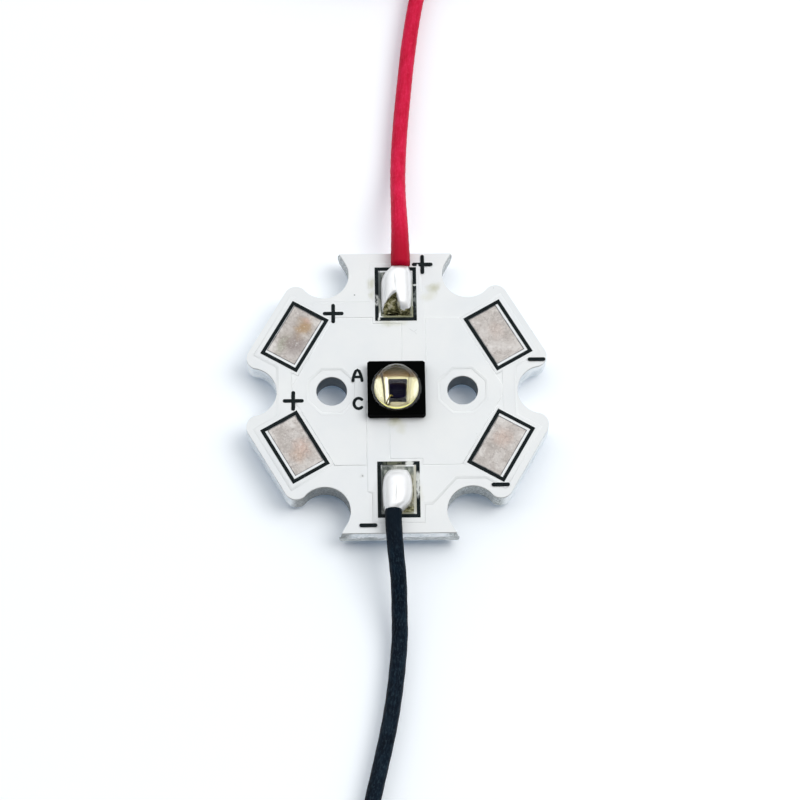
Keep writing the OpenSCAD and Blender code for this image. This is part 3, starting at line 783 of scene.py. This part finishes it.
def make_pad_edges():
    """Fine dark line around the bare side pads at the edge of the mask's opening: the mask's edge with its painted
    shade.
    """
    paint = Paint("pad_edge_shade_line", Roughness=0.6).cloudy(2.2, (0.09, 0.09, 0.095), (0.34, 0.33, 0.33), 0.34, 0.66)
    half_line, low, high = 0.028, PAD_TOP - 0.005, MASK_TOP + 0.004
    for name, angle, shift in SIDE_PADS:
        loops = []
        for grow, z in ((half_line, low), (half_line, high), (-half_line, high), (-half_line, low)):
            loop = []
            for sx, sy in CORNERS:
                x = sx * (PAD_SIZE[0] / 2 + grow) + shift[0]
                y = sy * (PAD_SIZE[1] / 2 + grow) + shift[1] + PAD_AT
                loop.append((*turned(x, y, math.radians(angle - 90)), z))
            loops.append(loop)
        add_mesh("pad_edge_" + name, loft(loops, True), paint, False)


dress(tin_paint(), "pad_plus_upper_left", "pad_plus_lower_left", "pad_minus_upper_right", "pad_minus_lower_right")
dress(fluxed_paint(), "pad_plus_top", "pad_minus_bottom")
make_pad_edges()


# ---- print ----

def ink_paint(name):
    p = Paint(name, Roughness=0.6, Specular_IOR_Level=0.1)
    return p.cloudy(3.0, (0.003, 0.006, 0.007), (0.012, 0.018, 0.020), 0.3, 0.75, 4.0).grainy(8.0, 0.3, 0.01)


def outline_paint():
    """Ink of the pad outlines, partly under whole or broken films of flux at the two soldered pads; one pale film is
    a painted highlight of glare off the flux.
    """
    p = ink_paint("outline_ink")
    shaken = p.shaken(p.mm, 0.22, 4.0)
    broken = p.between(p.noise(shaken, (5, 2.4, 1), 3.0, 0.6), 0.40, 0.56)
    white, grey, olive = (0.70, 0.72, 0.70), (0.26, 0.29, 0.28), (0.16, 0.17, 0.12)
    for x, y, rx, ry, colour, much, whole in (
            (-1.30, 6.48, 0.30, 0.52, white, 0.75, False), (1.27, 7.60, 0.16, 0.09, white, 0.8, True),
            (1.30, 6.45, 0.30, 1.15, grey, 0.55, False), (-1.14, 5.12, 0.07, 0.2, white, 0.9, True),
            # the whole pale film at the upper right corner of the lower pad's outline is a painted highlight of
            # glare off the flux
            (0.72, -5.14, 0.34, 0.25, white, 0.95, True), (-0.3, -5.14, 0.85, 0.25, olive, 0.7, False),
            (1.27, -6.7, 0.30, 1.0, white, 0.85, False), (1.27, -6.1, 0.25, 0.45, white, 0.75, True)):
        film = p.spot(shaken, x, y, rx, ry, 0, 0.5)
        p.over(colour, film if whole else p.math("MULTIPLY", film, broken), much)
    return p


INK = ink_paint("black_ink")
STROKE = 0.25


def stroke(points, width):
    """Outline of a line with round ends."""
    pts = [Vector((*p, 0)) for p in points]
    dirs = tangents(pts)
    sides = [Vector((-d.y, d.x, 0)) * width / 2 for d in dirs]
    caps = []
    for at, out, side in ((pts[-1], dirs[-1], sides[-1]), (pts[0], -dirs[0], -sides[0])):
        caps.append([at + out * (width / 2 * math.sin(math.pi * k / 8)) - side * math.cos(math.pi * k / 8)
                     for k in range(1, 8)])
    right = [p - s for p, s in zip(pts, sides)]
    left = [p + s for p, s in zip(pts, sides)]
    return [(p.x, p.y) for p in right + caps[0] + left[::-1] + caps[1]]


def plus_outline(cx, cy, worn):
    """Plus sign with round ends; a worn one has a nick in its left arm."""
    arm, h = 0.70, STROKE / 2
    arc = [polar(h, math.radians(22.5 * k - 90)) for k in range(9)]
    pts = []
    for quarter in range(4):
        angle = math.radians(90 * quarter)
        pts += [turned(arm - h + x, y, angle) for x, y in arc]
        if worn and quarter == 2:
            pts += [(-0.40, -h), (-0.36, 0.03), (-0.28, 0.04), (-0.23, -h)]
        pts.append(turned(h, h, angle))
    return [(cx + x, cy + y) for x, y in pts]


def make_sign(name, *outlines):
    """Thin plates of ink; a second one is a hair lower, so that no two faces coincide."""
    plates = [plate_from(line, MASK_TOP, PRINT_TOP - 0.001 * k) for k, line in enumerate(outlines)]
    add_mesh(name, join(plates), INK, False)


def make_signs():
    for name, cx, cy, worn in (("plus_sign_top", 1.83, 9.10, True), ("plus_sign_upper_left", -4.21, 5.56, False),
                               ("plus_sign_lower_left", -6.90, -0.68, False)):
        make_sign(name, plus_outline(cx, cy, worn))
    for name, x0, x1, y in (("minus_sign_upper_right", 8.74, 9.92, 2.15),
                            ("minus_sign_lower_right", 6.09, 7.30, -6.67),
                            ("minus_sign_bottom", -2.61, -1.43, -9.40)):
        make_sign(name, stroke([(x0 + STROKE / 2, y), ((x0 + x1) / 2, y), (x1 - STROKE / 2, y)], STROKE))
    ax, ay = -2.63, 1.10
    legs = [(-0.30, -0.38), (-0.27, -0.18), (-0.20, 0.08), (-0.11, 0.30), (0.0, 0.38),
            (0.11, 0.30), (0.20, 0.08), (0.27, -0.18), (0.30, -0.38)]
    make_sign("letter_a", stroke([(ax + x, ay + y) for x, y in legs], 0.2),
              stroke([(ax + x, ay - 0.12) for x in (-0.22, 0, 0.22)], 0.18))
    turns = [math.radians(48 + k * 264 / 14) for k in range(15)]
    make_sign("letter_c", stroke([(0.31 * math.cos(a) - 2.57, 0.37 * math.sin(a) - 0.90) for a in turns], 0.2))


dress(outline_paint(), "pad_outlines")
make_signs()


# ---- emitter ----

def make_housing():
    """Square body with rounded edges around the round bowl; the lens foot lies in the step at the top."""
    paint = Paint("black_housing", Roughness=0.6, Specular_IOR_Level=0.01)
    paint.cloudy(14.0, (0.0006, 0.0007, 0.0007), (0.002, 0.0022, 0.0022)).grainy(14.0, 0.25, 0.012)
    count, half, foot, corner = 96, (1.915, 1.905), 1.73, 0.06
    angles = [TURN * (k + 0.5) / count for k in range(count)]

    def square(inset, corner, z):
        loop = []
        hx, hy = half[0] - inset, half[1] - inset
        for a in angles:
            cx, cy = math.cos(a), math.sin(a)
            t = min(hx / abs(cx), hy / abs(cy))
            x, y = cx * t, cy * t
            ex, ey = abs(x) - (hx - corner), abs(y) - (hy - corner)
            if ex > 0 and ey > 0:
                d = math.hypot(ex, ey)
                x = math.copysign(hx - corner + corner * ex / d, x)
                y = math.copysign(hy - corner + corner * ey / d, y)
            loop.append((LED_AT[0] + x, LED_AT[1] + y, z))
        return loop

    def ring(r, z):
        return [(LED_AT[0] + r * math.cos(a), LED_AT[1] + r * math.sin(a), z) for a in angles]

    loops = [ring(1.36, 1.80), square(0.03, 0.05, foot), square(0.0, corner, foot + 0.03),
             square(0.0, corner, BODY_TOP - 0.05), square(0.015, corner, BODY_TOP - 0.015),
             square(0.05, corner, BODY_TOP), ring(1.69, BODY_TOP), ring(1.68, BODY_TOP - 0.01),
             ring(1.68, 2.35), ring(1.475, 2.35), ring(1.475, 1.962), ring(1.36, 1.952)]
    body = add_mesh("emitter_body", loft(loops, True), paint, False)
    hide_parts("led_housing")


LONG = 60
# pale and dark patches on the gold: painted reflections of the bright and dark surroundings, and painted shade in
# front of the die
GOLD_PAINTED_REFLECTIONS = [
    (-0.35, 0.05, 0.07, 0.75, 0, (0.98, 0.96, 0.88), 0.9),
    (0.35, 0.0, 0.075, 0.9, 0, (0.46, 0.42, 0.28), 0.75),
    (0.58, 0.12, 0.13, 0.55, 0, (0.93, 0.92, 0.73), 0.8),
    (-0.60, 0.1, 0.13, 0.5, 0, (0.84, 0.81, 0.63), 0.6),
    (-0.02, -0.49, 0.62, 0.17, 0, (0.30, 0.26, 0.16), 0.75),
]


def gold_paint():
    """Brushed gold with painted reflections: pale beside the split, darker right of the die, painted shade at the
    foot, a yellow rim in front and a brown top.
    """
    p = Paint("gold_plating", Metallic=1.0).cloudy(3.0, (0.62, 0.57, 0.34), (0.73, 0.69, 0.45))
    shaken = p.shaken(p.mm, 0.05, 9.0)
    p.stains(shaken, 0.5, GOLD_PAINTED_REFLECTIONS)
    y = p.axes(shaken)[1]
    # painted reflections: a bright yellow rim in front and a brown band at the back
    p.over((0.86, 0.84, 0.32), p.between(y, -0.66, -0.72, 0.0, 0.9))
    p.over((0.60, 0.42, 0.17), p.between(y, 0.47, 0.60, 0.0, 0.7))
    # fine groove beside the die, painted as a dark line of shade
    p.stains(p.mm, 0.5, [(0.315, 0, 0.014, LONG, 0, (0.16, 0.13, 0.05), 0.6)])
    grain = p.noise(p.mm, 20.0)
    p.set("Roughness", p.ramp(grain, [(0.3, 0.07), (0.7, 0.12)]))
    p.set("Normal", p.bump(grain, 0.2, 0.01))
    return p


def make_gap_fill():
    """Moulding resin that fills the split of the lead frame up to the gold."""
    p = Paint("gap_resin", Roughness=0.3).cloudy(8.0, (0.48, 0.42, 0.22), (0.62, 0.56, 0.33))
    p.stains(p.mm, 0.2, [(SPLIT_X, 0, 0.026, LONG, 0, (0.24, 0.21, 0.09), 1.0)])
    p.over((0.20, 0.14, 0.07), p.between(p.axes(p.mm)[1], 0.30, 0.50))
    line = stroke([(SPLIT_X, y) for y in (-1.22, 0.0, 1.22)], 0.059)
    add_mesh("frame_gap_resin", plate_from(line, 1.88, 1.957), p, False)


def make_bond_wire():
    """Round wire from a ball on the die to the contact."""
    paint = Paint("bond_gold", Metallic=1.0, Roughness=0.25).cloudy(6.0, (0.42, 0.34, 0.08), (0.58, 0.50, 0.17))
    x, y = -0.23, -0.20
    route = [(x, y, DIE_TOP), (x, y, DIE_TOP + 0.06), (-0.26, -0.23, DIE_TOP + 0.11),
             (-0.31, -0.29, DIE_TOP + 0.12), (-0.37, -0.38, DIE_TOP + 0.09), (-0.42, -0.47, DIE_TOP),
             (-0.45, -0.53, 2.0), (-0.455, -0.54, GOLD_TOP)]
    run = sweep(catmull(route, 0.012), lambda a, d: 0.025, 12, (0.66, -0.75, 0))
    verts, faces = lathe([(0, -0.005), (0.045, 0.0), (0.055, 0.015), (0.045, 0.035), (0.02, 0.045), (0, 0.047)], 20)
    ball = ([(x + bx, y + by, DIE_TOP + bz) for bx, by, bz in verts], faces)
    wire = add_mesh("bond_wire", join([run, ball]), paint)
    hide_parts("led_bond_wire")


def die_paint():
    """Dark cells with a slightly paler grid between them."""
    p = Paint("die", Roughness=0.35, Specular_IOR_Level=0.02)
    values = {"Vector": p.mapped(p.mm, (7, 7, 7)), "Scale": 1.0, "Mortar Size": 0.05, "Brick Width": 1.0,
              "Row Height": 1.0, "Color1": (0.002, 0.0007, 0.012, 1), "Color2": (0.004, 0.0015, 0.022, 1),
              "Mortar": (0.007, 0.004, 0.018, 1)}
    p.colour(p.node("ShaderNodeTexBrick", values, offset=0.0).outputs["Color"])
    return p


def make_die():
    """Die with slightly rounded rim."""
    cx, cy, hx, hy, rim = -0.01, 0.07, 0.28, 0.355, 0.012
    loops = [[(cx + sx * (hx - inset), cy + sy * (hy - inset), z) for sx, sy in CORNERS]
             for z, inset in ((GOLD_TOP, 0), (DIE_TOP - rim, 0), (DIE_TOP, rim))]
    die = add_mesh("emitter_die", loft(loops), die_paint(), False)
    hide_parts("led_die")


def make_lens():
    """Dome on a short neck, with its flange and foot in the body."""
    paint = Paint("clear_lens", IOR=1.5, Roughness=0.0, Transmission_Weight=1.0)
    paint.cloudy(1.5, (0.97, 0.96, 0.92), (0.99, 0.985, 0.96), detail=2.0)
    centre, r = BODY_TOP + 0.3, 1.47
    profile = [(0, 1.94), (1.478, 1.94), (1.478, 2.347), (1.672, 2.347), (1.675, 2.415), (1.66, 2.425),
               (1.52, 2.428), (1.485, 2.44), (r, 2.47), (r, centre - 0.1)]
    for k in range(40):
        x, z = polar(r, math.radians(k * 90 / 40))
        profile.append((x, centre + z))
    profile.append((0, centre + r))
    verts, faces = lathe(profile, 128)
    verts = [(x + LED_AT[0], y + LED_AT[1], z) for x, y, z in verts]
    lens = add_mesh("dome_lens", (verts, faces), paint)
    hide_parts("led_lens")


make_housing()
dress(gold_paint(), "led_frame", "led_contact")
make_gap_fill()
make_bond_wire()
make_die()
make_lens()


# ---- solder ----

# near white and mostly diffuse: the solder's pale colour with its bright reflections painted in as sheen
SOLDER_SHEEN_TONES = ((0.90, 0.905, 0.92), (0.95, 0.955, 0.965))


def solder_paint():
    p = Paint("solder", Metallic=0.35, Roughness=0.32).cloudy(2.0, *SOLDER_SHEEN_TONES)
    # darker line along the bead's fold: painted shade in the crease
    p.stains(p.shaken(p.mm, 0.06, 3.0), 0.2, [(-0.20, -7.65, 0.045, 0.95, -3, (0.30, 0.285, 0.26), 0.6)])
    return p


def burnt_solder_paint():
    """Solder whose low end carries a burnt wedge of flux between two bright arms."""
    p = Paint("burnt_solder", Specular_IOR_Level=0.3).cloudy(2.0, *SOLDER_SHEEN_TONES)
    # darker line along the bead's fold: painted shade in the crease
    p.stains(p.shaken(p.mm, 0.06, 3.0), 0.2, [(-0.06, 7.45, 0.05, 0.75, 2, (0.32, 0.33, 0.34), 0.6)])
    bright = p.base
    x, y, z = p.axes(p.shaken(p.mm, 0.26, 3.4))
    # the wedge is drawn on the pad's plane, as it is seen from the front above
    lean = p.math("ADD", y, p.math("MULTIPLY", p.math("SUBTRACT", z, PAD_TOP), 0.385))
    flat = p.node("ShaderNodeCombineXYZ", {0: x, 1: lean}).outputs[0]
    down = p.math("SUBTRACT", 7.08, lean)
    bulge = p.math("MULTIPLY", down, p.math("SUBTRACT", 1.32, p.math("MULTIPLY", down, 0.50)))
    left = p.math("ADD", p.math("ADD", x, 0.02), bulge)
    right = p.math("SUBTRACT", p.math("MULTIPLY", down, 0.26), x)
    tip = p.math("ABSOLUTE", p.math("SUBTRACT", x, 0.50))
    below = p.math("SUBTRACT", p.math("ADD", p.math("MULTIPLY", tip, 0.55), 5.74), lean)
    burnt = p.between(p.math("MINIMUM", left, p.math("MAXIMUM", right, below)), -0.03, 0.07)
    curls = p.noise(p.shaken(p.mm, 0.8, 2.0), 3.6, 4.0, 0.62)
    p.colour(p.ramp(curls, [(0.36, (0.020, 0.019, 0.006)), (0.46, (0.07, 0.065, 0.02)),
                            (0.54, (0.22, 0.21, 0.09)), (0.64, (0.60, 0.57, 0.40))]))
    p.stains(flat, 0.3, [(0.15, 6.16, 0.13, 0.36, 12, (0.74, 0.72, 0.56), 0.85)])
    p.stains(flat, 0.2, [(-0.38, 6.05, 0.16, 0.34, -25, (0.50, 0.47, 0.40), 0.5)])
    p.colour(p.mix(burnt, bright, p.base))
    p.set("Metallic", p.ramp(burnt, [(0.2, 0.35), (0.6, 0.0)]))
    p.set("Roughness", p.ramp(burnt, [(0.1, 0.3), (0.6, 0.5)]))
    p.set("Normal", p.bump(p.math("MULTIPLY", burnt, curls), 0.5, 0.05))
    return p


SOLDER = solder_paint()
dress(SOLDER, "led_solder_anode", "led_solder_cathode", "led_solder_heat")

# Rows along a bead: distance from the centre, middle, underside, half width and height
PLUS_ROWS = [
    (5.42, 0, PAD_TOP, 0.6, 0.12), (5.52, 0, PAD_TOP, 0.84, 0.44), (5.7, 0.01, PAD_TOP, 0.94, 0.76),
    (5.98, 0.02, PAD_TOP, 0.98, 0.94), (6.4, 0.04, PAD_TOP, 1.01, 1.03), (7.0, 0.05, PAD_TOP, 1.04, 1.13),
    (7.7, 0.06, PAD_TOP, 1.03, 1.22), (8.2, 0.15, PAD_TOP, 0.94, 1.27), (8.5, 0.24, CLEAR, 0.74, 1.08),
    (8.8, 0.32, CLEAR + 0.06, 0.56, 0.9),
]
MINUS_ROWS = [
    (5.62, 0.03, PAD_TOP, 0.50, 0.12), (5.74, 0.05, PAD_TOP, 0.68, 0.46), (6.2, 0.08, PAD_TOP, 0.90, 0.93),
    (6.9, 0.09, PAD_TOP, 0.985, 1.14), (7.5, 0.11, PAD_TOP, 0.965, 1.24), (7.95, 0.16, PAD_TOP, 0.90, 1.25),
    (8.28, 0.26, CLEAR, 0.76, 1.19), (8.55, 0.36, CLEAR + 0.06, 0.58, 1.06),
]


def smooth_rows(rows, count):
    out = []
    for k in range(count):
        f = k / (count - 1) * (len(rows) - 1)
        i = min(int(f), len(rows) - 2)
        near = (rows[max(0, min(len(rows) - 1, i + o))] for o in (-1, 0, 1, 2))
        out.append([spline(a, b, c, d, f - i) for a, b, c, d in zip(*near)])
    return out


def make_joint(name, rows, sign, crease, paint):
    loops = []
    for y, xc, base, half, height in smooth_rows(rows, 64):
        loop = []
        for k in range(49):
            a = math.pi * k / 48
            x = -half * math.cos(a)
            lump = 0.02 * wave(1.3 * x, 1.3 * y, 2.0 * sign) - crease(x + xc, y)
            z = height * math.sin(a) ** 0.66 + lump * math.sin(a)
            loop.append((sign * (xc + x), sign * y, base + max(0.0, z)))
        loops.append(loop)
    joint = add_mesh(name + "_bead", loft(loops), paint)
    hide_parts(name)


def plus_crease(x, y):
    """Fold down the middle that opens into a hollow between two arms at the low end."""
    fold = 0.05 * math.exp(-((x + 0.04) / 0.07) ** 2) * max(0.0, 1 - abs(y - 7.3) / 1.0)
    down = 6.80 - y
    if down <= 0:
        return fold
    across = min(x + 0.02 + (1.2 - 0.4 * down) * down, 0.30 * down - 0.02 - x)
    return fold + 0.5 * min(1.0, down / 0.5) * ease(max(0.0, min(1.0, across / 0.14)))


def minus_crease(x, y):
    return 0.035 * math.exp(-((x - 0.21) / 0.05) ** 2) * max(0.0, 1 - abs(y - 7.5) / 1.1)


make_joint("solder_joint_plus", PLUS_ROWS, 1, plus_crease, burnt_solder_paint())
make_joint("solder_joint_minus", MINUS_ROWS, -1, minus_crease, SOLDER)


# ---- floor, light, world ----

# The floor lies a little below the part
FLOOR = -0.5 * MM
FLOOR_HALF = 1.5
FLOOR_COLOUR = (0.955, 0.972, 0.99)
FLOOR_GLOW = (0.46, 0.69, 1.0)
FLOOR_GLOW_POWER = 0.10
KEY_AT = (0.29, 0.05, 0.45)
KEY_SIZE = 0.38
KEY_POWER = 1.15
KEY_COLOUR = (1.0, 0.99, 0.965)
WORLD_POWER = 1.53


def make_stage():
    mesh = bpy.data.meshes.new("floor")
    mesh.from_pydata([(sx * FLOOR_HALF, sy * FLOOR_HALF, FLOOR) for sx, sy in CORNERS], [], [(0, 1, 2, 3)])
    floor = bpy.data.objects.new("floor", mesh)
    SCENE.collection.objects.link(floor)
    mat = bpy.data.materials.new("floor")
    mesh.materials.append(mat)
    t = Tree(mat)
    t.nodes.clear()
    path = t.node("ShaderNodeLightPath").outputs
    seen = t.math("MAXIMUM", path["Is Camera Ray"], path["Is Glossy Ray"])
    seen = t.math("MAXIMUM", seen, path["Is Transmission Ray"])
    diffuse = t.node("ShaderNodeBsdfDiffuse", {"Color": rgba(FLOOR_COLOUR)})
    glow = t.node("ShaderNodeEmission", {"Color": rgba(FLOOR_GLOW),
                                         "Strength": t.math("MULTIPLY", seen, FLOOR_GLOW_POWER)})
    both = t.node("ShaderNodeAddShader", {0: diffuse.outputs[0], 1: glow.outputs[0]})
    t.node("ShaderNodeOutputMaterial", {"Surface": both.outputs[0]})


def make_key():
    data = bpy.data.lights.new("key", "AREA")
    data.shape = "DISK"
    data.size = KEY_SIZE
    data.energy = KEY_POWER
    data.color = KEY_COLOUR
    lamp = bpy.data.objects.new("key", data)
    lamp.location = KEY_AT
    lamp.rotation_mode = "QUATERNION"
    lamp.rotation_quaternion = (-Vector(KEY_AT)).to_track_quat("-Z", "Y")
    lamp.visible_glossy = False
    lamp.visible_transmission = False
    SCENE.collection.objects.link(lamp)


def make_world():
    """Bright and high behind the part, dark above the viewer, a little cool fill low in front."""
    world = bpy.data.worlds.new("studio")
    SCENE.world = world
    t = Tree(world)
    t.nodes.clear()
    cool, plain, brown = (0.74, 0.88, 1.0), (0.965, 0.985, 1.0), (1.0, 0.74, 0.44)
    depth = [(0.0, 0.20, cool), (0.17, 0.15, cool), (0.27, 0.03, cool), (0.33, 0.035, cool), (0.40, 0.12, brown),
             (0.435, 0.24, brown), (0.46, 1.0, plain), (1.0, 1.0, plain)]
    height = [(0.0, 0.22), (0.35, 0.44), (0.70, 0.90), (1.0, 1.0)]
    _, y, z = t.axes(t.node("ShaderNodeTexCoord").outputs["Generated"])
    from_front = t.node("ShaderNodeMath", {0: y, 1: 0.5, 2: 0.5}, operation="MULTIPLY_ADD").outputs[0]
    light = t.vector("MULTIPLY", {0: t.ramp(from_front, [(at, shade(tint, value)) for at, value, tint in depth]),
                                  1: t.ramp(z, height)})
    back = t.node("ShaderNodeBackground", {"Color": light, "Strength": WORLD_POWER})
    t.node("ShaderNodeOutputWorld", {"Surface": back.outputs[0]})


make_stage()
make_key()
make_world()
SCENE.view_settings.view_transform = "Standard"
